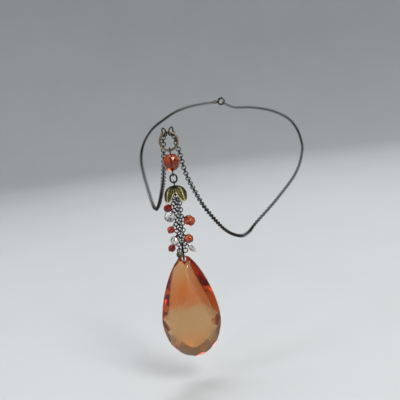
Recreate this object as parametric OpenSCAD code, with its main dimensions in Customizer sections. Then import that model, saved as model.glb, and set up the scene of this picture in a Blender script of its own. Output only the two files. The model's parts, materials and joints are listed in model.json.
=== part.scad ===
// Pendant necklace. A fine link chain carries a long pendant: a textured ring,
// a faceted bead on a looped pin, an oval connector, a petal cap, a tassel of
// three chain strands hung with small beads, and a faceted glass pear drop.
// Millimetres. +Z is up, the front is -Y. The origin is the middle of the
// textured ring's top wire, where the pendant hangs from the two chain ends.

/* [Chain] */
// Centreline radius of one round link
link_R = 1.05; // [0.95:0.05:1.3]
// Wire radius of one round link
link_r = 0.24; // [0.2:0.01:0.3]
// Links from the pendant round to the clasp, right side
links_right = 203; // [199:2:219]
// Links from the pendant round to the clasp, left side
links_left = 176; // [174:2:196]
// Links of the right side that hang free
free_right = 82; // [60:2:110]
// Links of the left side that hang free
free_left = 82; // [60:2:110]

/* [Ring and bead] */
// Centreline radius of the textured ring
ring_R = 4.1; // [3.6:0.1:5]
// Wire radius of the textured ring
ring_r = 0.62; // [0.5:0.02:0.7]
// Number of raised nubs on the ring
ring_nubs = 22; // [16:1:28]
// Largest radius of the amber bead
bead_r = 3.85; // [3:0.05:5]
// Height of the amber bead
bead_h = 7.6; // [6:0.1:10]

/* [Cap and tassel] */
// Largest radius of the petal cap
cap_r = 5.6; // [5:0.1:6.5]
// Height of the petal cap
cap_h = 6.9; // [6:0.1:8]
// Wall of the petal cap
cap_wall = 0.5; // [0.4:0.05:0.7]
// Links in each of the two beaded strands
strand_links = 16; // [12:2:18]
// Links in the strand that carries the drop
drop_links = 15; // [11:2:17]

/* [Glass drop] */
// Height of the drop
drop_h = 50; // [40:1:60]
// Greatest width of the drop
drop_w = 28; // [22:1:34]
// Half thickness at the flat table
drop_table = 5; // [4:0.1:6]
// Half thickness of the rim between front and back facets
drop_rim = 0.6; // [0.4:0.1:1]
// Radius of the hole for the bail
drop_hole = 1.1; // [0.9:0.05:1.2]

/* [Hidden] */

gunmetal = [0.16, 0.14, 0.13];
bronze = [0.62, 0.5, 0.3];
brass = [0.5, 0.44, 0.22];
amber = [0.85, 0.4, 0.1];
silver = [0.8, 0.8, 0.8];

pitch = 2 * link_R - 2 * link_r - 0.03;
gap = 0.12;

// ---------- shared helpers ----------

function unit(v) = v / norm(v);
function clampi(i, n) = max(0, min(n - 1, i));

// Point on a smooth curve through the list p, at t between p[i] and p[i + 1]
function curve(p, i, t) =
  let (a = p[clampi(i - 1, len(p))], b = p[i], c = p[i + 1], d = p[clampi(i + 2, len(p))])
  0.5 * (2 * b + (c - a) * t + (2 * a - 5 * b + 4 * c - d) * t * t
    + (3 * b - a - 3 * c + d) * t * t * t);
function dense(p, m = 16) = concat(
  [for (i = [0:len(p) - 2]) for (k = [0:m - 1]) curve(p, i, k / m)], [p[len(p) - 1]]);
function running(p, i = 0, s = 0, out = []) = i == len(p) ? out
  : let (n = i == 0 ? 0 : s + norm(p[i] - p[i - 1])) running(p, i + 1, n, concat(out, [n]));
// n points at equal spacing along the curve through p
function spaced(p, n) =
  let (q = dense(p), s = running(q), total = s[len(s) - 1])
  [for (i = [0:n - 1]) let (at = total * i / (n - 1))
    [for (axis = [0:2]) lookup(at, [for (k = [0:len(q) - 1]) [s[k], q[k][axis]]])]];
function directions(c) = [for (i = [0:len(c) - 1])
  unit(c[clampi(i + 1, len(c))] - c[clampi(i - 1, len(c))])];
// Carries a sideways direction along the curve without letting it spin
function carried(t, n, i = 0, out = []) = i == len(t) ? out
  : let (m = unit(n - (n * t[i]) * t[i])) carried(t, m, i + 1, concat(out, [m]));

module torus(R, r) rotate_extrude($fn = 24) translate([R, 0]) circle(r = r, $fn = 16);

// Torus with its hole along X
module torus_x(R, r) rotate([0, 90, 0]) torus(R, r);

// Closed loop of round wire in the XY plane, straight for 2 * half along X
module long_loop(half, R, r) {
  for (s = [-1, 1]) {
    translate([s * half, 0, 0]) rotate([0, 0, s * 90 - 180])
      rotate_extrude(angle = 180, $fn = 32) translate([R, 0]) circle(r = r, $fn = 16);
    translate([-half, s * R, 0]) rotate([0, 90, 0]) cylinder(r = r, h = 2 * half, $fn = 16);
  }
}

// Links from..to of a chain whose centres are c; every second one is turned a quarter
module chain(c, up, turn, from, to) {
  t = directions(c);
  n = carried(t, up);
  for (i = [from:to]) {
    a = turn * i / (len(c) - 1) + 90 * (i % 2);
    z = cos(a) * n[i] + sin(a) * cross(t[i], n[i]);
    y = cross(z, t[i]);
    multmatrix([[t[i].x, y.x, z.x, c[i].x], [t[i].y, y.y, z.y, c[i].y],
      [t[i].z, y.z, z.z, c[i].z], [0, 0, 0, 1]])
      torus(link_R, link_r);
  }
}

// ---------- main chain ----------

clasp_at = [39, 223, 18];

route_right = [
  [2.18, 1.93, -0.48], [2.3, 3.45, -1.2], [2.8, 4.7, -3.5], [3.9, 6, -9.5], [5.7, 8.8, -20.2],
  [8.6, 15, -29.5], [13.5, 25.5, -41.5], [22.9, 45.7, -57.5], [32, 65.4, -66], [38.3, 78.5, -67],
  [44.5, 91.5, -64.5], [62, 111, -54], [79.5, 128.5, -40], [88, 142, -26.5], [89.8, 152, -18.5],
  [89.5, 163, -10.5], [86, 175, -2.5], [77, 196, 5], [62, 213.5, 10], [50, 221, 11.5],
  [43.2, 223, 15.1]
];
route_left = [
  [-2.18, 1.93, -0.48], [-2.3, 3.45, -1.2], [-2.7, 4.7, -3.5], [-3.4, 7, -9.5], [-4.6, 13, -17],
  [-7.1, 25.5, -27], [-11.5, 47, -38.5], [-15.1, 65, -44], [-17.8, 78, -43], [-20.8, 92, -35],
  [-23.4, 105, -26.5], [-25.2, 118, -19.5], [-25.4, 131, -13], [-23.3, 147, -5.5],
  [-17.6, 161.5, 2.2], [-9, 177, 8.2], [0.5, 197, 13.5], [11, 213, 16.5], [21.5, 221, 17.7],
  [30.7, 223, 18]
];

module right_chain(from, to)
  color(gunmetal) chain(spaced(route_right, links_right), [0, 0, 1], -18, from, to);
module left_chain(from, to)
  color(gunmetal) chain(spaced(route_left, links_left), [0, 0, 1], -30, from, to);

module neck_chain_right() right_chain(free_right, links_right - 1);
module loop_chain_right() right_chain(0, free_right - 1);
module neck_chain_left() left_chain(free_left, links_left - 1);
module loop_chain_left() left_chain(0, free_left - 1);

jump_R = 1.85;
jump_r = 0.35;
jump_rise = 0.55;
jump_lean = 19;
jump_turn = 28;

// Jump ring round the textured ring's top wire, standing on its radius with its back
// turned outward by the pull of the chain
module end_ring(side) color(gunmetal)
  translate([0, 0, -ring_R]) rotate([0, side * jump_lean, 0])
    translate([0, 0, ring_R + jump_rise]) rotate([0, 0, -side * jump_turn])
      torus_x(jump_R, jump_r);
module end_ring_left() end_ring(-1);
module end_ring_right() end_ring(1);

// ---------- clasp ----------

claw_out = 3.2;
claw_in = 1.9;
claw_mid = (claw_out + claw_in) / 2;
claw_thick = 1.8;
lever_from = 38;
lever_to = 126;
lever_thick = 1.3;
lever_reach = 3.88;
pivot = claw_mid * [cos(lever_to), sin(lever_to)];

// Flat plate standing in the XZ plane, centred on its thickness
module upright(h) rotate([90, 0, 0]) linear_extrude(h, center = true) children();

module pie(a, b, r) polygon(concat([[0, 0]], [for (k = [0:6]) r * [cos(a + (b - a) * k / 6),
  sin(a + (b - a) * k / 6)]]));

module clasp_body() color(gunmetal) translate(clasp_at) {
  difference() {
    upright(claw_thick) difference() {
      circle(r = claw_out, $fn = 48);
      circle(r = claw_in, $fn = 48);
      pie(lever_from, lever_to + 10, 6);
      // hollow behind the claw's tip for the end of the lever
      translate(pivot) intersection() {
        circle(r = lever_reach + gap, $fn = 64);
        pie(-34, 10, 6);
      }
    }
    translate([pivot.x, 0, pivot.y]) rotate([90, 0, 0])
      cylinder(r = 1.15, h = 5, center = true, $fn = 32);
  }
  // two cheeks that carry the pivot pin
  for (s = [-1, 1]) difference() {
    translate([pivot.x, s * 0.95, pivot.y]) rotate([90, 0, 0])
      cylinder(r = 1.05, h = 0.5, center = true, $fn = 32);
    translate([pivot.x, 0, pivot.y]) rotate([90, 0, 0])
      cylinder(r = 0.33, h = 5, center = true, $fn = 24);
  }
  // web from the cheeks to the claw, and the tail eye
  for (s = [-1, 1]) translate([0, s * 0.95, 0]) upright(0.5) difference() {
    pie(140, 170, 3.1);
    circle(r = 2, $fn = 48);
  }
  upright(1.2) difference() {
    union() {
      translate([-5.2, 0]) circle(r = 1.5, $fn = 32);
      translate([-4.6, -0.8]) square([2.2, 1.6]);
    }
    translate([-5.2, 0]) circle(r = 0.8, $fn = 32);
  }
}

module clasp_lever() color(gunmetal) translate(clasp_at) {
  upright(lever_thick) difference() {
    union() {
      intersection() {
        difference() {
          circle(r = claw_out - 0.05, $fn = 48);
          circle(r = claw_in + 0.1, $fn = 48);
          rotate(lever_to) translate([-6, 0]) square([12, 6]);
          rotate(lever_from - 8) translate([-6, -6]) square([12, 6]);
        }
        translate(pivot) circle(r = lever_reach, $fn = 64);
      }
      translate(pivot) circle(r = 0.85, $fn = 32);
    }
    translate(pivot) circle(r = 0.36, $fn = 24);
  }
  // thumb nib
  translate([2.8 * cos(75), 0, 2.8 * sin(75)]) rotate([0, 15, 0])
    cylinder(r1 = 0.6, r2 = 0.4, h = 1.3, $fn = 24);
}

module clasp_pin() color(gunmetal) translate([clasp_at.x + pivot.x, clasp_at.y, clasp_at.z + pivot.y])
  rotate([90, 0, 0]) {
    cylinder(r = 0.31, h = 2.6, center = true, $fn = 24);
    for (s = [-1, 1]) translate([0, 0, s * 1.33]) cylinder(r = 0.5, h = 0.2, center = true, $fn = 24);
  }

// Ring on the right chain end, held in the claw
module clasp_ring() color(gunmetal) translate(clasp_at) rotate([0, 35, 0])
  translate([2.75, 0, 0]) torus(jump_R, jump_r);
module clasp_tail_ring() color(gunmetal) translate(clasp_at + [-6.6, 0, 0]) torus(1.3, 0.3);

// ---------- ring, bead and connector ----------

module textured_ring() color(bronze) translate([0, 0, -ring_R]) rotate([90, 0, 0]) {
  torus(ring_R, ring_r);
  for (k = [0:ring_nubs - 1]) rotate([0, 0, (k + 0.5) * 360 / ring_nubs])
    translate([ring_R + 0.36, 0, 0]) sphere(r = 0.36, $fn = 24);
}

eye_R = 1.15;
pin_r = 0.3;
top_eye_z = -2 * ring_R - 0.1;
bead_top = -9.95;
low_eye_z = bead_top - bead_h - 1.5;

module bead_pin() color(gunmetal) {
  translate([0, 0, top_eye_z]) torus_x(eye_R, pin_r);
  translate([0, 0, low_eye_z]) torus_x(eye_R, pin_r);
  translate([0, 0, low_eye_z + eye_R]) cylinder(r = pin_r, $fn = 24,
    h = top_eye_z - low_eye_z - 2 * eye_R);
}

// Ten-sided faceted bead, point to point along Z, bored for its pin
module faceted_bead(r, h, sides, bore, belt = 0.22, tip = 0.48) difference() {
  hull() {
    cylinder(r = r, h = belt * h, center = true, $fn = sides);
    rotate(180 / sides) cylinder(r = 0.82 * r, h = 0.66 * h, center = true, $fn = sides);
    cylinder(r = tip * r, h = h, center = true, $fn = sides);
  }
  cylinder(r = bore, h = 2 * h, center = true, $fn = 24);
}

module amber_bead() color(amber) translate([0, 0, bead_top - bead_h / 2])
  faceted_bead(bead_r, bead_h, 10, 0.4);

connector_r = 0.4;
connector_top = low_eye_z - eye_R + pin_r + connector_r + gap;
connector_half = 0.35;
connector_R = 1.55;
connector_low = connector_top - 2 * (connector_half + connector_R);

module connector_link() color(gunmetal)
  translate([0, 0, connector_top - connector_half - connector_R])
    rotate([0, 90, 90]) long_loop(connector_half, connector_R, connector_r);

// ---------- cap, hanger and tassel ----------

cap_eye_R = 0.95;
cap_eye_z = connector_low + connector_r + pin_r + gap - cap_eye_R;
cap_top = cap_eye_z - cap_eye_R - 0.65;
hanger_low = cap_top - 4.2;
hanger_R = 0.75;
front_y = -2.8;
back_y = 0.5;

module cap_pin() color(gunmetal) {
  translate([0, 0, cap_eye_z]) torus_x(cap_eye_R, pin_r);
  translate([0, 0, hanger_low + 2 * hanger_R]) cylinder(r = pin_r, $fn = 24,
    h = cap_eye_z - cap_eye_R - hanger_low - 2 * hanger_R);
  translate([0, (front_y + back_y) / 2, hanger_low + hanger_R]) rotate([90, 0, 90])
    long_loop((back_y - front_y) / 2, hanger_R, pin_r);
}

// Half section of the bell: outer curve down, inner curve back up
bell = [[0, 1.1], [0.35, 2.5], [1.1, 3.7], [2.2, 4.55], [3.6, 5.0], [5.2, 5.25], [6.9, 5.6]];

module petal_cap() color(brass) translate([0, 0, cap_top]) difference() {
  rotate_extrude($fn = 48) polygon(concat([[0.42, 0]],
    [for (p = bell) [p[1] * cap_r / 5.6, -p[0] * cap_h / 6.9]],
    [for (i = [len(bell) - 1:-1:0]) [(bell[i][1] - cap_wall) * cap_r / 5.6,
      -bell[i][0] * cap_h / 6.9 - (i < 3 ? cap_wall * (1 - i / 3) : 0)]],
    [[0.42, -cap_wall]]));
  // pointed gaps that leave four petals
  for (k = [0:3]) rotate([0, 0, 90 * k]) rotate([90, 0, 0]) linear_extrude(9)
    polygon([[0, -2.6], [1.15, -4.4], [1.7, -5.8], [3.6, -9], [-3.6, -9], [-1.7, -5.8], [-1.15, -4.4]]);
}

tassel_top = hanger_low + 2 * pin_r + gap;
tassel_R = 1.1;
tassel_low = tassel_top - 2 * tassel_R;
strand_x = 1.4;

module tassel_ring() color(gunmetal) translate([0, front_y, tassel_top - tassel_R])
  rotate([90, 0, 0]) long_loop(strand_x, tassel_R, pin_r);

strand_z = tassel_low + pin_r + link_r + gap - link_R;
drop_strand_z = hanger_low + pin_r + link_r + gap - link_R;

// Straight hanging strand; first is the hole direction of the first link
module strand(at, count, first) color(gunmetal) for (i = [0:count - 1])
  translate(at - [0, 0, pitch * i]) rotate([0, 0, first + 90 * (i % 2)]) torus_x(link_R, link_r);

module strand_left() strand([-strand_x, front_y, strand_z], strand_links, 0);
module strand_right() strand([strand_x, front_y, strand_z], strand_links, 0);
module drop_strand() strand([0, back_y, drop_strand_z], drop_links, 90);

// ---------- bead dangles ----------

dangle_eye = 0.62;
dangle_wire = 0.17;
dangle_head = 0.36;
dangle_bore = 0.22;
// From the hooked wire to the top of the bead
dangle_neck = 1.15;

// Strand side, link number, angle down the link where it hooks on, azimuth from the
// side towards the front, dip below level, bead radius, bead length, sides (0 is a
// ball). An odd link faces front and is hooked at its side, an even one at its front.
dangles = [
  [-1, 1, 20, -40, 35, 2.0, 3.8, 8],
  [-1, 3, 20, 60, 35, 2.5, 4.6, 10],
  [1, 5, 20, -40, 35, 2.5, 5.6, 8],
  [-1, 7, 20, 40, 40, 1.75, 3.2, 8],
  [-1, 13, 0, 20, 30, 1.75, 3.2, 8],
  [1, 10, 20, 30, 35, 2.15, 4.0, 8],
  [-1, 10, 20, 60, 35, 2.1, 4.2, 0],
  [1, 13, 20, -40, 45, 1.2, 5.0, 6],
  [-1, 14, 40, 80, 60, 1.4, 2.8, 6]
];
colours = [[0.5, 0.06, 0.03], [0.9, 0.88, 0.85], [0.85, 0.3, 0.06], [0.75, 0.2, 0.05],
  [0.45, 0.05, 0.03], [0.6, 0.25, 0.06], silver, silver, [0.3, 0.22, 0.15]];

// Puts the children's -Z along the dangle's shank, with Z = 0 at the hooked wire
module on_strand(d) {
  facing = d[1] % 2 == 1 ? [d[0], 0] : [0, -1];
  translate([d[0] * strand_x + facing.x * link_R * cos(d[2]),
    front_y + facing.y * link_R * cos(d[2]), strand_z - pitch * d[1] - link_R * sin(d[2])])
    rotate([0, 0, d[0] > 0 ? -d[3] : 180 + d[3]]) rotate([0, d[4] - 90, 0]) children();
}

module dangle_pin(k) color(gunmetal) let (d = dangles[k - 1]) on_strand(d) {
  translate([0, 0, -0.05]) torus_x(dangle_eye, dangle_wire);
  translate([0, 0, -dangle_neck - 0.2 - d[6]]) cylinder(r = dangle_wire, $fn = 24,
    h = dangle_neck + 0.15 + d[6] - dangle_eye);
  translate([0, 0, -dangle_neck - 0.05 - d[6]]) difference() {
    sphere(r = dangle_head, $fn = 24);
    translate([-1, -1, 0.02]) cube(2);
  }
}

module dangle_bead(k) color(colours[k - 1]) let (d = dangles[k - 1]) on_strand(d)
  translate([0, 0, -dangle_neck - d[6] / 2])
    if (d[7] == 0) difference() {
      sphere(r = d[5], $fn = 48);
      cylinder(r = dangle_bore, h = 9, center = true, $fn = 24);
    }
    else faceted_bead(d[5], d[6], d[7], dangle_bore, d[6] > 5 ? 0.3 : 0.22, 0.42);

// ---------- bail and glass drop ----------

bail_r = 0.45;
bail_R = 2.3;
bail_half = 1.55;
bail_top = drop_strand_z - pitch * (drop_links - 1) - link_R + link_r + bail_r + gap;
bail_low = bail_top - 2 * (bail_R + bail_half);
hole_z = bail_low + 0.02;
drop_top = hole_z + 1.85;
belly_z = drop_top - drop_h * 32 / 50;

module bail() color(gunmetal) translate([0, back_y, bail_top - bail_R - bail_half])
  rotate([0, 90, 0]) long_loop(bail_half, bail_R, bail_r);

// Right-hand outline of the drop from its lowest point: width and height
side = [[0, 0], [3.9, 0.75], [7.4, 2.9], [10.3, 6], [12.4, 10], [13.6, 14.3], [14, 18],
  [13.7, 22], [12.8, 27], [11.4, 32], [9.6, 37], [7.4, 41.8], [5, 45.8], [2.6, 48.8], [0, 50]];
outline = [for (p = side) [p.x * drop_w / 28, (p.y - 18) * drop_h / 50]];

// How far the outline reaches from the belly's centre in direction a
function reach(a) = max([for (p = outline) p.x * abs(cos(a)) + p.y * sin(a)]);

// Slices off what lies in front of a facet: direction a, starting y0 in front of
// the middle at the outline, sloping back towards the rim by s degrees
module slice(a, y0, s) rotate([0, -a, 0]) translate([reach(a), -y0, 0]) rotate([0, 0, s])
  translate([-70, -50, -70]) cube([140, 50, 140]);

module front_facets() {
  slice(90, drop_rim, 26);
  for (m = [0, 1]) mirror([m, 0, 0]) {
    slice(21, drop_rim, 25);
    for (a = [-60:30:0]) slice(a, drop_rim + 0.8, 30);
    for (a = [-75, -45, -15, 12, 36]) slice(a, drop_rim, 50);
  }
  slice(-90, drop_rim + 0.8, 30);
}

module glass_drop() color([0.85, 0.5, 0.2, 0.6]) translate([0, back_y, belly_z]) difference() {
  rotate([90, 0, 0]) linear_extrude(2 * drop_table, center = true)
    polygon(concat(outline, [for (i = [len(outline) - 2:-1:1]) [-outline[i].x, outline[i].y]]));
  front_facets();
  mirror([0, 1, 0]) front_facets();
  translate([0, 0, hole_z - belly_z]) rotate([90, 0, 0])
    cylinder(r = drop_hole, h = 40, center = true, $fn = 32);
}

// ---------- nodes ----------

neck_chain_left();
neck_chain_right();
loop_chain_left();
loop_chain_right();
end_ring_left();
end_ring_right();
clasp_body();
clasp_lever();
clasp_pin();
clasp_ring();
clasp_tail_ring();
textured_ring();
bead_pin();
amber_bead();
connector_link();
cap_pin();
petal_cap();
tassel_ring();
strand_left();
strand_right();
drop_strand();
bail();
glass_drop();
for (k = [1:9]) {
  dangle_pin(k);
  dangle_bead(k);
}
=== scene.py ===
# Pendant necklace: the looks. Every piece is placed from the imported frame, in metres.
import json
import math
import random

import bmesh
import bpy
import numpy as np
from mathutils import Matrix, Vector


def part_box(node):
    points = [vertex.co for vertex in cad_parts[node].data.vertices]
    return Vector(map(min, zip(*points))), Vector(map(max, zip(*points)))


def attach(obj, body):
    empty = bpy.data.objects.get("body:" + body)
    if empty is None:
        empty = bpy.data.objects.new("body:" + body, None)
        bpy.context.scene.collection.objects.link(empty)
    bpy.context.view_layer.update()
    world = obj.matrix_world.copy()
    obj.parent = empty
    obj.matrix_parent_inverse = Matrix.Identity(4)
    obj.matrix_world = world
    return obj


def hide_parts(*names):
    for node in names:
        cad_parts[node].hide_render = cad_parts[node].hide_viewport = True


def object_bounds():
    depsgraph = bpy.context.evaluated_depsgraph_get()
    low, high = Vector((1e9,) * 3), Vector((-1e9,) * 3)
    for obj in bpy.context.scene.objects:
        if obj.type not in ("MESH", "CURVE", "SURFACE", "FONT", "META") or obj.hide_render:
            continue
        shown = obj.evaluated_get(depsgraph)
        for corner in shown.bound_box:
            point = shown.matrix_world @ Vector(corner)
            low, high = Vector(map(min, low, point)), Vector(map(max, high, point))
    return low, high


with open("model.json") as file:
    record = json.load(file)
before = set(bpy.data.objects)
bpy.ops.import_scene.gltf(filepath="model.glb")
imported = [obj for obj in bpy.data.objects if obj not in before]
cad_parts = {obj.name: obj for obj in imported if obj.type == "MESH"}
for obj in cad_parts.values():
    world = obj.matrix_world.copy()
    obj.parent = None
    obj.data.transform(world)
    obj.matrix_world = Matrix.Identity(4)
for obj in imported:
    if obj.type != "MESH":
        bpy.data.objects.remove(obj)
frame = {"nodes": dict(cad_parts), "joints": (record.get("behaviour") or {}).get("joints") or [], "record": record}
low_cad, high_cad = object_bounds()
nodes = frame["nodes"]
bodies = frame["record"]["behaviour"]["bodies"]
body_of = {node: body for body, members in bodies.items() for node in members}
joint_at = {joint["child"]: joint for joint in frame["joints"]}
MM = 0.001
UP = Vector((0, 0, 1))

# ---------- studio ----------

# The camera stands before the pendant, just above its ring, and looks slightly down
camera_place = Vector((10.9, -252.0, 2.7)) * MM
camera_tilt = math.radians(8)
camera_roll = math.radians(7)
camera_lens = 49.4
floor_gap = 14 * MM
floor_radius = 1.4
cove_radius = 0.9
cove_top = 2.4


def make_camera():
    data = bpy.data.cameras.new("camera")
    data.lens = camera_lens
    data.clip_start = 0.01
    camera = bpy.data.objects.new("camera", data)
    bpy.context.scene.collection.objects.link(camera)
    ahead = Vector((0, math.cos(camera_tilt), -math.sin(camera_tilt)))
    right = Vector((1, 0, 0))
    up = right.cross(ahead)
    turned_right = math.cos(camera_roll) * right - math.sin(camera_roll) * up
    turned_up = math.sin(camera_roll) * right + math.cos(camera_roll) * up
    camera.matrix_world = Matrix.Translation(camera_place) @ Matrix(
        (turned_right, turned_up, -ahead)
    ).transposed().to_4x4()
    bpy.context.scene.camera = camera


def mesh_object(name, vertices, faces, smooth=True):
    mesh = bpy.data.meshes.new(name)
    mesh.from_pydata([tuple(v) for v in vertices], [], faces)
    mesh.polygons.foreach_set("use_smooth", [smooth] * len(mesh.polygons))
    mesh.update()
    made = bpy.data.objects.new(name, mesh)
    bpy.context.scene.collection.objects.link(made)
    return made


def sleeve(rings, sides):
    """Faces between each ring of vertices and the next."""
    faces = []
    for k in range(rings - 1):
        for j in range(sides):
            a, b = k * sides + j, k * sides + (j + 1) % sides
            faces.append((a, b, b + sides, a + sides))
    return faces


def make_studio():
    """One pale floor that curves up into a wall all the way round."""
    middle = (low_cad + high_cad) / 2
    floor = low_cad.z - floor_gap
    profile = [(0.0, floor), (floor_radius, floor)]
    steps, sides = 12, 96
    for step in range(1, steps + 1):
        a = math.radians(90 * step / steps)
        rise = cove_radius * (1 - math.cos(a))
        profile.append((floor_radius + cove_radius * math.sin(a), floor + rise))
    profile.append((floor_radius + cove_radius, floor + cove_top))
    vertices = []
    for radius, height in profile:
        for k in range(sides):
            a = 2 * math.pi * k / sides
            vertices.append((middle.x + radius * math.cos(a), middle.y + radius * math.sin(a), height))
    made = mesh_object("studio_floor", vertices, sleeve(len(profile), sides))
    made.data.materials.append(studio_material())


def area_light(name, place, target, size, watts, colour=(1, 1, 1)):
    data = bpy.data.lights.new(name, "AREA")
    data.shape = "RECTANGLE"
    data.size, data.size_y = size
    data.energy = watts
    data.color = colour
    light = bpy.data.objects.new(name, data)
    bpy.context.scene.collection.objects.link(light)
    light.location = Vector(place)
    light.rotation_mode = "QUATERNION"
    light.rotation_quaternion = (Vector(target) - Vector(place)).to_track_quat("-Z", "Y")
    light.visible_camera = False


def make_lights():
    target = (0.02, 0.05, -0.05)
    area_light("key_light", (0.65, -0.75, 1.0), target, (0.45, 0.6), 10.5, (1.0, 0.97, 0.92))
    area_light("top_light", (-0.2, 0.25, 1.35), target, (0.9, 0.7), 9, (0.96, 0.98, 1.0))
    area_light("fill_light", (-1.15, -0.6, 0.75), target, (0.5, 0.7), 4.5, (0.92, 0.96, 1.0))
    area_light("back_light", (0.5, 1.0, 1.25), target, (0.3, 0.5), 5)
    area_light("strip_light", (0.42, -0.62, 0.12), target, (0.05, 0.4), 1.0)
    world = bpy.data.worlds.new("world")
    world.use_nodes = True
    world.node_tree.nodes["Background"].inputs["Color"].default_value = (0.74, 0.78, 0.8, 1)
    world.node_tree.nodes["Background"].inputs["Strength"].default_value = 0.42
    scene = bpy.context.scene
    scene.world = world
    scene.view_settings.view_transform = "Standard"
    scene.cycles.max_bounces = 24
    scene.cycles.transmission_bounces = 24
    scene.cycles.glossy_bounces = 16


# ---------- materials ----------


class Shader:
    """A material and short calls for the nodes used here."""

    def __init__(self, name, **values):
        self.material = bpy.data.materials.new(name)
        self.material.use_nodes = True
        self.tree = self.material.node_tree
        self.surface = self.tree.nodes["Principled BSDF"]
        self.output = self.tree.nodes["Material Output"]
        self.place = self.node("ShaderNodeTexCoord").outputs["Object"]
        for key, value in values.items():
            socket = key.replace("_", " ").title().replace("Ior", "IOR")
            self.surface.inputs[socket].default_value = value

    def node(self, kind, inputs=None, **properties):
        made = self.tree.nodes.new(kind)
        for key, value in properties.items():
            setattr(made, key, value)
        for key, value in (inputs or {}).items():
            if isinstance(value, bpy.types.NodeSocket):
                self.tree.links.new(value, made.inputs[key])
            else:
                made.inputs[key].default_value = value
        return made

    def link(self, output, socket):
        self.tree.links.new(output, self.surface.inputs[socket])

    def noise(self, scale, detail=4.0, roughness=0.6, distortion=0.0):
        values = {"Vector": self.place, "Scale": scale, "Detail": detail}
        values |= {"Roughness": roughness, "Distortion": distortion}
        return self.node("ShaderNodeTexNoise", values).outputs["Fac"]

    def ramp(self, factor, *stops):
        made = self.node("ShaderNodeValToRGB", {"Fac": factor})
        elements = made.color_ramp.elements
        while len(elements) < len(stops):
            elements.new(0.5)
        for element, (place, colour) in zip(elements, stops):
            element.position = place
            element.color = (*colour, 1) if isinstance(colour, tuple) else (colour, colour, colour, 1)
        return made.outputs["Color"]

    def math(self, operation, a, b=0.0):
        made = self.node("ShaderNodeMath", {0: a, 1: b}, operation=operation)
        return made.outputs[0]

    def height(self, z_low, z_high):
        """0 at z_low to 1 at z_high."""
        parts = self.node("ShaderNodeSeparateXYZ", {"Vector": self.place})
        values = {"Value": parts.outputs["Z"], "From Min": z_low, "From Max": z_high}
        return self.node("ShaderNodeMapRange", values).outputs["Result"]

    def relief(self):
        return self.node("ShaderNodeAttribute", attribute_name="relief").outputs["Fac"]

    def bump(self, height, distance, strength):
        values = {"Height": height, "Distance": distance, "Strength": strength}
        self.link(self.node("ShaderNodeBump", values).outputs["Normal"], "Normal")


def studio_material():
    shader = Shader("studio_paper", roughness=0.85)
    speckle = shader.noise(6.0)
    shader.link(shader.ramp(speckle, (0.3, (0.55, 0.565, 0.575)), (0.7, (0.58, 0.59, 0.60))), "Base Color")
    shader.bump(shader.noise(900.0), 0.0002, 0.15)
    return shader.material


def gunmetal(name="gunmetal", dark=(0.014, 0.011, 0.009), light=(0.07, 0.055, 0.043)):
    """Dark plating, rubbed brighter in patches, with fine drawing marks."""
    shader = Shader(name, metallic=1.0)
    patches = shader.noise(700.0, 5.0, 0.65, 0.4)
    shader.link(shader.ramp(patches, (0.38, dark), (0.57, light), (0.74, (0.24, 0.18, 0.13))), "Base Color")
    shader.link(shader.ramp(shader.noise(1500.0, 3.0), (0.3, 0.2), (0.7, 0.42)), "Roughness")
    shader.bump(shader.noise(5200.0, 3.0), 0.00002, 0.6)
    return shader.material


def antiqued(name, hollow, mid, high):
    """Relief metal: dark in the hollows, rubbed bright on the high spots."""
    shader = Shader(name, metallic=1.0)
    worn = shader.math("ADD", shader.relief(), shader.math("MULTIPLY", shader.noise(1100.0, 5.0, 0.7), 0.7))
    level = shader.math("SUBTRACT", worn, 0.35)
    shader.link(shader.ramp(level, (0.12, hollow), (0.5, mid), (0.85, high)), "Base Color")
    shader.link(shader.ramp(level, (0.2, 0.5), (0.8, 0.27)), "Roughness")
    shader.bump(shader.noise(3800.0, 4.0), 0.00003, 0.7)
    return shader.material


def silver(name="silver"):
    """Bright silver with grey tarnish in patches."""
    shader = Shader(name, metallic=1.0)
    tarnished, worn, bright = (0.24, 0.22, 0.2), (0.62, 0.6, 0.57), (0.92, 0.9, 0.87)
    shade = shader.ramp(shader.noise(650.0, 5.0, 0.7), (0.3, tarnished), (0.48, worn), (0.8, bright))
    shader.link(shade, "Base Color")
    shader.link(shader.ramp(shader.noise(1900.0), (0.3, 0.12), (0.7, 0.3)), "Roughness")
    shader.bump(shader.noise(2600.0, 3.0), 0.00003, 0.5)
    return shader.material


def glass(name, shades, absorb, density):
    """Tinted glass with slow streaks in the melt and a faintly wavy, hand-polished skin."""
    shader = Shader(name, transmission_weight=1.0, ior=1.52, specular_ior_level=0.6)
    streaks = shader.noise(420.0, 3.0, 0.5, 0.6)
    shader.link(shader.ramp(streaks, (0.32, shades[0]), (0.68, shades[1])), "Base Color")
    shader.link(shader.ramp(shader.noise(1300.0, 4.0), (0.35, 0.0), (0.7, 0.035)), "Roughness")
    shader.bump(shader.noise(500.0, 2.0), 0.00003, 0.25)
    volume = shader.node("ShaderNodeVolumeAbsorption", {"Color": (*absorb, 1), "Density": density})
    shader.tree.links.new(volume.outputs["Volume"], shader.output.inputs["Volume"])
    return shader.material


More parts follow.
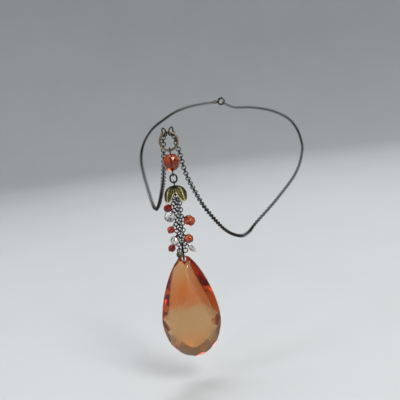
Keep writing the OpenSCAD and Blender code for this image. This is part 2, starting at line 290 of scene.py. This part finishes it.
def honey_glass():
    """The large drop, with painted refraction in its colour: olive honey in its lower half, warm orange above and
    honey at the top are bands that stand in for the finger and bust seen through it.
    """
    shader = Shader("honey_glass", transmission_weight=1.0, ior=1.52, specular_ior_level=0.6)
    low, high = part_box("glass_drop")
    wander = shader.math("MULTIPLY", shader.math("SUBTRACT", shader.noise(120.0, 3.0), 0.5), 0.22)
    level = shader.math("ADD", shader.height(low.z, high.z), wander)
    # Painted refraction: these height bands copy the finger and bust seen through the drop; the volume absorption
    # below is the glass's own tint.
    brown, honey, olive = (0.68, 0.42, 0.18), (0.74, 0.5, 0.26), (0.68, 0.57, 0.37)
    orange, deep = (0.8, 0.35, 0.12), (0.74, 0.29, 0.1)
    lower = ((0.02, brown), (0.16, honey), (0.3, olive), (0.45, olive))
    upper = ((0.54, deep), (0.72, orange), (0.88, honey))
    shade = shader.ramp(level, *lower, *upper)
    shader.link(shade, "Base Color")
    shader.link(shader.ramp(shader.noise(900.0, 4.0), (0.4, 0.0), (0.75, 0.03)), "Roughness")
    shader.bump(shader.noise(220.0, 2.0), 0.00005, 0.25)
    volume = shader.node("ShaderNodeVolumeAbsorption", {"Color": (0.9, 0.55, 0.12, 1), "Density": 110.0})
    shader.tree.links.new(volume.outputs["Volume"], shader.output.inputs["Volume"])
    return shader.material


# ---------- mesh tools ----------


def finish_piece(piece, node, material):
    """Gives a new piece its material and puts it in its CAD node's place."""
    piece.data.materials.clear()
    piece.data.materials.append(material)
    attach(piece, body_of[node])
    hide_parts(node)
    return piece


def points_of(node):
    """The node's vertices, each place once."""
    flat = np.empty(len(nodes[node].data.vertices) * 3)
    nodes[node].data.vertices.foreach_get("co", flat)
    return np.unique(np.round(flat.reshape(-1, 3), 7), axis=0)


def spread(points):
    """Middle of a cloud of points and its thinnest, middle and longest directions with their half sizes."""
    middle = points.mean(0)
    _, vectors = np.linalg.eigh(np.cov((points - middle).T))
    reach = (points - middle) @ vectors
    centre = middle + vectors @ ((reach.max(0) + reach.min(0)) / 2)
    half = [float(h) for h in (reach.max(0) - reach.min(0)) / 2]
    return Vector(centre), [Vector(vectors[:, k]) for k in range(3)], half


def loops_of(node):
    """The spread of each separate link in a chain node; its thinnest direction is the axis of its hole."""
    mesh = nodes[node].data
    bm = bmesh.new()
    bm.from_mesh(mesh)
    bmesh.ops.remove_doubles(bm, verts=bm.verts, dist=1e-6)
    seen = set()
    found = []
    for start in bm.verts:
        if start in seen:
            continue
        seen.add(start)
        island = [start]
        for vertex in island:
            for edge in vertex.link_edges:
                other = edge.other_vert(vertex)
                if other not in seen:
                    seen.add(other)
                    island.append(other)
        found.append(spread(np.array([v.co[:] for v in island])))
    bm.free()
    return found


def welded(piece, gap=0.0):
    """Joins vertices within gap of each other and turns every face outward."""
    bm = bmesh.new()
    bm.from_mesh(piece.data)
    if gap:
        bmesh.ops.remove_doubles(bm, verts=bm.verts, dist=gap)
    bmesh.ops.recalc_face_normals(bm, faces=bm.faces)
    bm.to_mesh(piece.data)
    bm.free()
    return piece


def torus(rings, sides, first=0):
    """Faces of a closed run of rings, whose vertices start at number first."""
    faces = []
    for k in range(rings):
        for j in range(sides):
            a, b = k * sides + j, k * sides + (j + 1) % sides
            c, d = (k + 1) % rings * sides + (j + 1) % sides, (k + 1) % rings * sides + j
            faces.append((first + a, first + d, first + c, first + b))
    return faces


def ridge(away, width):
    """1 on a ridge's crest, falling smoothly to 0 on both sides of it."""
    return math.exp(-((away / width) ** 2))


def rounded_end(ring, direction):
    """Two smaller rings that round a wire's end over."""
    at, side, other, radius = ring
    shoulder = (at + direction * radius * 0.3, side, other, radius * 0.9)
    return [shoulder, (at + direction * radius * 0.42, side, other, radius * 0.55)]


def tube(name, route, radius, sides):
    """Round wire swept along a route, with its ends rounded over."""
    route = [Vector(p) for p in route]
    last = len(route) - 1
    tangents = [(route[min(k + 1, last)] - route[max(k - 1, 0)]).normalized() for k in range(last + 1)]
    side = tangents[0].orthogonal().normalized()
    rings = []
    for point, tangent in zip(route, tangents):
        side = (side - side.dot(tangent) * tangent).normalized()
        rings.append((point, side.copy(), tangent.cross(side), radius))
    start = rounded_end(rings[0], -tangents[0])[::-1]
    rings = start + rings + rounded_end(rings[-1], tangents[-1])
    vertices = []
    for at, one, two, reach in rings:
        for j in range(sides):
            a = 2 * math.pi * j / sides
            vertices.append(at + reach * (math.cos(a) * one + math.sin(a) * two))
    faces = sleeve(len(rings), sides)
    faces.append(tuple(range(sides - 1, -1, -1)))
    faces.append(tuple(range((len(rings) - 1) * sides, len(rings) * sides)))
    return welded(mesh_object(name, vertices, faces))


def joined(name, parts):
    """One mesh object from several."""
    bm = bmesh.new()
    for part in parts:
        bm.from_mesh(part.data)
        old = part.data
        bpy.data.objects.remove(part)
        bpy.data.meshes.remove(old)
    mesh = bpy.data.meshes.new(name)
    bm.to_mesh(mesh)
    bm.free()
    mesh.polygons.foreach_set("use_smooth", [True] * len(mesh.polygons))
    made = bpy.data.objects.new(name, mesh)
    bpy.context.scene.collection.objects.link(made)
    return made


def refined(node, bevel, sharpest=4, segments=2):
    """A copy of a CAD node, flat faces merged, with edges over sharpest degrees softened."""
    mesh = nodes[node].data.copy()
    bm = bmesh.new()
    bm.from_mesh(mesh)
    bmesh.ops.remove_doubles(bm, verts=bm.verts, dist=2e-6)
    bmesh.ops.dissolve_limit(bm, angle_limit=math.radians(1), verts=bm.verts, edges=bm.edges)
    for face in bm.faces:
        face.smooth = True
    bm.to_mesh(mesh)
    bm.free()
    mesh.update()
    made = bpy.data.objects.new(node + "_look", mesh)
    bpy.context.scene.collection.objects.link(made)
    edge = made.modifiers.new("softened", "BEVEL")
    edge.width = bevel
    edge.segments = segments
    edge.limit_method = "ANGLE"
    edge.angle_limit = math.radians(sharpest)
    edge.harden_normals = True
    return made


# ---------- wire work ----------

dangle_eye = 0.62 * MM
dangle_wire = 0.17 * MM
dangle_near = 0.85 * MM
# Radius and height above the bead's end of the pin's ball head, in millimetres
head_profile = [(0.0, -0.16), (0.2, -0.16), (0.33, -0.06), (0.36, 0.02)]
head_profile += [(0.31, 0.11), (0.2, 0.17), (0.0, 0.2)]


def cut_ring(node, material):
    """A loop of round wire with the saw cut where a jump ring opens."""
    saw_cut, turn, steps = 0.05 * MM, 0.9, 72
    centre, (_, short, long), half = spread(points_of(node))
    wire = half[0]
    bend = half[1] - wire
    straight = max(half[2] - half[1], 0)
    straight = straight if straight > 0.1 * MM else 0
    length = 2 * math.pi * bend + 4 * straight
    route = []
    for k in range(steps + 1):
        run = saw_cut / 2 + (length - saw_cut) * k / steps + turn * bend
        route.append(centre + loop_point(run % length, bend, straight, short, long))
    return finish_piece(tube(node + "_look", route, wire, 16), node, material)


def loop_point(run, bend, straight, short, long):
    """A point on a long loop, run metres round from the middle of one straight side."""
    arc = math.pi * bend
    if run < straight:
        return short * bend + long * run
    run -= straight
    if run < arc:
        a = run / bend
        return long * (straight + bend * math.sin(a)) + short * bend * math.cos(a)
    run -= arc
    if run < 2 * straight:
        return -short * bend + long * (straight - run)
    run -= 2 * straight
    if run < arc:
        a = run / bend
        return -long * (straight + bend * math.sin(a)) - short * bend * math.cos(a)
    return short * bend + long * (run - arc - straight)


def chain_piece(node, material, heavier=1.0):
    """Every link made again as a slightly uneven wire loop with its soldered joint."""
    draw = random.Random(node)
    vertices, faces = [], []
    around, sides = 26, 9
    lean, most_oval = 0.02, 0.015
    thinnest, solder_swell, solder_span = 0.97, 0.08, 0.2
    for centre, (axis, one, two), half in loops_of(node):
        bend = (half[1] + half[2]) / 2 - half[0]
        wire = half[0] * heavier
        axis = (axis + one * draw.gauss(0, lean) + two * draw.gauss(0, lean)).normalized()
        one = (one - one.dot(axis) * axis).normalized()
        two = axis.cross(one)
        joint = draw.uniform(0, 2 * math.pi)
        oval = draw.uniform(-most_oval, most_oval)
        first = len(vertices)
        for k in range(around):
            a = 2 * math.pi * k / around
            away = abs(math.remainder(a - joint, 2 * math.pi))
            thick = wire * (thinnest + solder_swell * ridge(away, solder_span))
            out = one * math.cos(a) * (1 + oval) + two * math.sin(a) * (1 - oval)
            for j in range(sides):
                b = 2 * math.pi * j / sides
                vertices.append(centre + out * (bend + thick * math.cos(b)) + axis * thick * math.sin(b))
        faces += torus(around, sides, first)
    return finish_piece(mesh_object(node + "_look", vertices, faces), node, material)


def eye_route(centre, along, across, radius, shank_end):
    """Wire up the shank, round the eye and back to the shank. along points from the eye to the shank."""
    route = [shank_end]
    neck = centre + along * radius * 1.12
    route.append(neck + along * radius * 0.3)
    route.append(neck)
    for k in range(25):
        a = math.radians(14 + 326 * k / 24)
        route.append(centre + radius * (along * math.cos(a) + across * math.sin(a)))
    return route


def eye_plane(node, centre, along, reach):
    """The direction across an eye, square to its shank, found from the CAD wire."""
    points = points_of(node) - np.array(centre)
    near = points[np.linalg.norm(points, axis=1) < reach]
    flat = near - np.outer(near @ np.array(along), np.array(along))
    _, vectors = np.linalg.eigh(flat.T @ flat)
    return Vector(vectors[:, 2])


def dangle_pin(k, material):
    """Head pin: an eye curled round the link, a shank through the bead and a ball head."""
    node = f"dangle_{k}_pin"
    hook = Vector(joint_at[f"dangle_{k}"]["pos_m"])
    low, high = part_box(f"dangle_{k}_bead")
    along = ((low + high) / 2 - hook).normalized()
    points = points_of(node)
    reach = max((points - np.array(hook)) @ np.array(along))
    centre = hook + along * 0.05 * MM
    across = eye_plane(node, centre, along, dangle_near)
    tip = hook + along * (reach - 0.2 * MM)
    wire = tube(node + "_wire", eye_route(centre, along, across, dangle_eye, tip), dangle_wire, 12)
    head = lathe(node + "_head", tip, along, head_profile)
    return finish_piece(joined(node + "_look", [wire, head]), node, material)


def bead_pin(material):
    """One wire with an eye curled at each end."""
    low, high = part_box("bead_pin")
    wire = (high.x - low.x) / 2
    bend = (high.y - low.y) / 2 - wire
    middle = (low + high) / 2
    down = -UP
    upper = Vector((middle.x, middle.y, high.z - wire - bend))
    lower = Vector((middle.x, middle.y, low.z + wire + bend))
    across = Vector((0, 1, 0))
    first = eye_route(upper, down, across, bend, middle)
    second = eye_route(lower, UP, -across, bend, middle)
    piece = tube("bead_pin_look", first[::-1] + second[1:], wire, 14)
    return finish_piece(piece, "bead_pin", material)


def cap_pin(material):
    """Eye above the cap, shank through it and a long hanging loop inside."""
    low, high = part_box("cap_pin")
    wire = (high.x - low.x) / 2
    eye, bend = 0.95 * MM, 0.75 * MM
    across = Vector((0, 1, 0))
    top = Vector((0, 0, high.z - wire - eye))
    loop_z = low.z + wire + bend
    back, front = high.y - wire - bend, low.y + wire + bend
    route = eye_route(top, -UP, across, eye, Vector((0, 0, loop_z + 2.2 * bend)))[::-1]
    route.append(Vector((0, 0, loop_z + 1.35 * bend)))
    route.append(Vector((0, -0.35 * bend, loop_z + bend)))
    for k in range(9):
        a = math.radians(90 + 180 * k / 8)
        route.append(Vector((0, front + bend * math.cos(a), loop_z + bend * math.sin(a))))
    for k in range(9):
        a = math.radians(-90 + 180 * k / 8)
        route.append(Vector((0, back + bend * math.cos(a), loop_z + bend * math.sin(a))))
    return finish_piece(tube("cap_pin_look", route, wire, 14), "cap_pin", material)


def lathe(name, at, axis, profile, sides=20):
    """Turned shape: profile is (radius, height along axis) in millimetres."""
    side = axis.orthogonal().normalized()
    other = axis.cross(side)
    vertices = []
    for radius, height in profile:
        for j in range(sides):
            a = 2 * math.pi * j / sides
            out = (side * math.cos(a) + other * math.sin(a)) * radius
            vertices.append(at + (out + axis * height) * MM)
    return welded(mesh_object(name, vertices, sleeve(len(profile), sides)), 1e-7)


# ---------- ring and cap ----------


def set_relief(piece, values):
    piece.data.attributes.new("relief", "FLOAT", "POINT").data.foreach_set("value", values)


def textured_ring(material):
    """Cast ring: beads round the outside and slanting strokes on both faces."""
    low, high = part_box("textured_ring")
    centre = (low + high) / 2
    outer = (high.z - low.z) / 2
    wire = (high.y - low.y) / 2
    body, tallest = 0.9, 1.16
    bend = outer - tallest * wire
    beads, around, sides = 22, 264, 28
    bead_height, stroke_height, outside_dip, stroke_wear = 0.36, 0.1, 0.16, 0.9
    draw = random.Random(5)
    tops = [draw.uniform(0.75, 1.0) for _ in range(beads)]
    vertices, relief = [], []
    for k in range(around):
        u = 2 * math.pi * k / around
        out = Vector((math.sin(u), 0, math.cos(u)))
        turn = u * beads / (2 * math.pi)
        bump = (0.5 - 0.5 * math.cos(2 * math.pi * turn)) ** 0.6 * tops[int(turn) % beads]
        for j in range(sides):
            v = 2 * math.pi * j / sides
            outward = max(0.0, math.cos(v)) ** 1.5
            face = 1 - abs(math.cos(v))
            stroke = 0.5 + 0.5 * math.cos(2 * math.pi * turn * 2 + 4 * math.cos(v))
            height = outward * (bump * bead_height - outside_dip) + face * stroke * stroke_height
            radius = wire * (body + height)
            forward = Vector((0, radius * math.sin(v), 0))
            vertices.append(centre + out * (bend + radius * math.cos(v)) + forward)
            relief.append(min(1.0, outward * bump + face * stroke * stroke_wear))
    piece = mesh_object("textured_ring_look", vertices, torus(around, sides))
    set_relief(piece, relief)
    return finish_piece(piece, "textured_ring", material)


# Bell outline of the cap: depth below its top and radius, in millimetres
bell = [(0, 1.1), (0.35, 2.5), (1.1, 3.7), (2.2, 4.55), (3.6, 5.0), (5.2, 5.25), (6.9, 5.6)]


def bell_at(depth):
    return float(np.interp(depth, [p[0] for p in bell], [p[1] for p in bell]))


def petal_cap(material):
    """Four ribbed petals joined at the crown, with rolled rims and a pierced centre."""
    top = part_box("petal_cap")[1].z
    rows, columns, petals = 34, 28, 4
    foot, scallop, joined_to = bell[-1][0], 0.9, 2.6
    widest_gap, centre_hole, plain_crown = 29, 0.45, 1.5
    ribs, vein, side_rim, foot_rim = 3.5, 0.12, 0.09, 0.05
    inset, rib_height, rim_height = 0.3, 0.22, 0.26
    wall = 0.42 * MM
    vertices, relief, faces = [], [], []
    for petal in range(petals):
        first = len(vertices)
        for row in range(rows + 1):
            share = row / rows
            for column in range(columns + 1):
                t = 2 * column / columns - 1
                bottom = foot - scallop * abs(t) ** 3
                depth = bottom * share
                gap = 0.0
                if depth > joined_to:
                    gap = widest_gap * ((depth - joined_to) / (foot - joined_to)) ** 0.75
                half = math.radians(45 - gap)
                a = math.radians(45 + 90 * petal) + half * t
                rib = math.cos(math.pi * t * ribs) ** 2
                raised = (0.55 * rib + 0.6 * ridge(t, vein)) * min(1.0, depth / plain_crown)
                rim = ridge(1 - abs(t), side_rim) if depth > joined_to else 0.0
                rim = max(rim, ridge(1 - share, foot_rim))
                radius = bell_at(depth) - inset + rib_height * raised + rim_height * rim
                if row == 0:
                    radius = centre_hole
                out = Vector((radius * math.cos(a), radius * math.sin(a), 0))
                vertices.append(out * MM + UP * (top - depth * MM))
                relief.append(min(1.0, max(raised * 0.8, rim)))
        for row in range(rows):
            for column in range(columns):
                a = first + row * (columns + 1) + column
                faces.append((a, a + columns + 1, a + columns + 2, a + 1))
    piece = mesh_object("petal_cap_look", vertices, faces)
    set_relief(piece, relief)
    welded(piece, 5e-6)
    shell = piece.modifiers.new("wall", "SOLIDIFY")
    shell.thickness = wall
    shell.offset = -1
    return finish_piece(piece, "petal_cap", material)


# ---------- beads ----------


def bead(node, material, bevel=0.07 * MM, sharpest=4):
    return finish_piece(refined(node, bevel, sharpest), node, material)


# ---------- making ----------

make_camera()
make_studio()
make_lights()

dark = gunmetal()
blackened = gunmetal("blackened", (0.006, 0.005, 0.004), (0.04, 0.031, 0.025))
for node in ("neck_chain_left", "neck_chain_right", "loop_chain_left", "loop_chain_right"):
    chain_piece(node, blackened)
for node in ("strand_left", "strand_right", "drop_strand"):
    chain_piece(node, blackened, 1.04)
for node in ("end_ring_left", "end_ring_right", "clasp_ring", "clasp_tail_ring"):
    cut_ring(node, dark)
for node in ("connector_link", "tassel_ring", "bail"):
    cut_ring(node, dark)

bronze = antiqued("antique_bronze", (0.02, 0.015, 0.01), (0.24, 0.175, 0.11), (0.78, 0.64, 0.44))
brass = antiqued("antique_brass", (0.02, 0.017, 0.008), (0.2, 0.165, 0.065), (0.72, 0.63, 0.33))
amber = glass("amber_glass", ((0.6, 0.22, 0.05), (0.85, 0.4, 0.11)), (0.88, 0.34, 0.06), 300.0)
bead("amber_bead", amber, 0.1 * MM)
bead("glass_drop", honey_glass(), 0.12 * MM)

textured_ring(bronze)
petal_cap(brass)

garnet = glass("garnet_glass", ((0.42, 0.05, 0.03), (0.65, 0.1, 0.06)), (0.72, 0.08, 0.04), 520.0)
orange = glass("orange_glass", ((0.68, 0.24, 0.06), (0.9, 0.38, 0.11)), (0.86, 0.28, 0.05), 380.0)
clear = glass("clear_glass", ((0.8, 0.77, 0.78), (0.97, 0.94, 0.93)), (0.8, 0.76, 0.76), 60.0)
ember = glass("ember_glass", ((0.55, 0.11, 0.05), (0.78, 0.2, 0.08)), (0.8, 0.14, 0.04), 420.0)
bead("dangle_1_bead", garnet)
bead("dangle_2_bead", clear)
bead("dangle_3_bead", orange)
bead("dangle_4_bead", ember)
bead("dangle_5_bead", garnet)
bead("dangle_6_bead", orange)
bead("dangle_7_bead", silver(), 0.07 * MM, 30)
bead("dangle_8_bead", silver("silver_long"))
bead("dangle_9_bead", gunmetal("olive_bead", (0.03, 0.028, 0.018), (0.1, 0.09, 0.055)))

for k in range(1, 10):
    dangle_pin(k, dark)
bead_pin(dark)
cap_pin(dark)
for node in ("clasp_body", "clasp_lever", "clasp_pin"):
    finish_piece(refined(node, 0.14 * MM, 30, 3), node, dark)
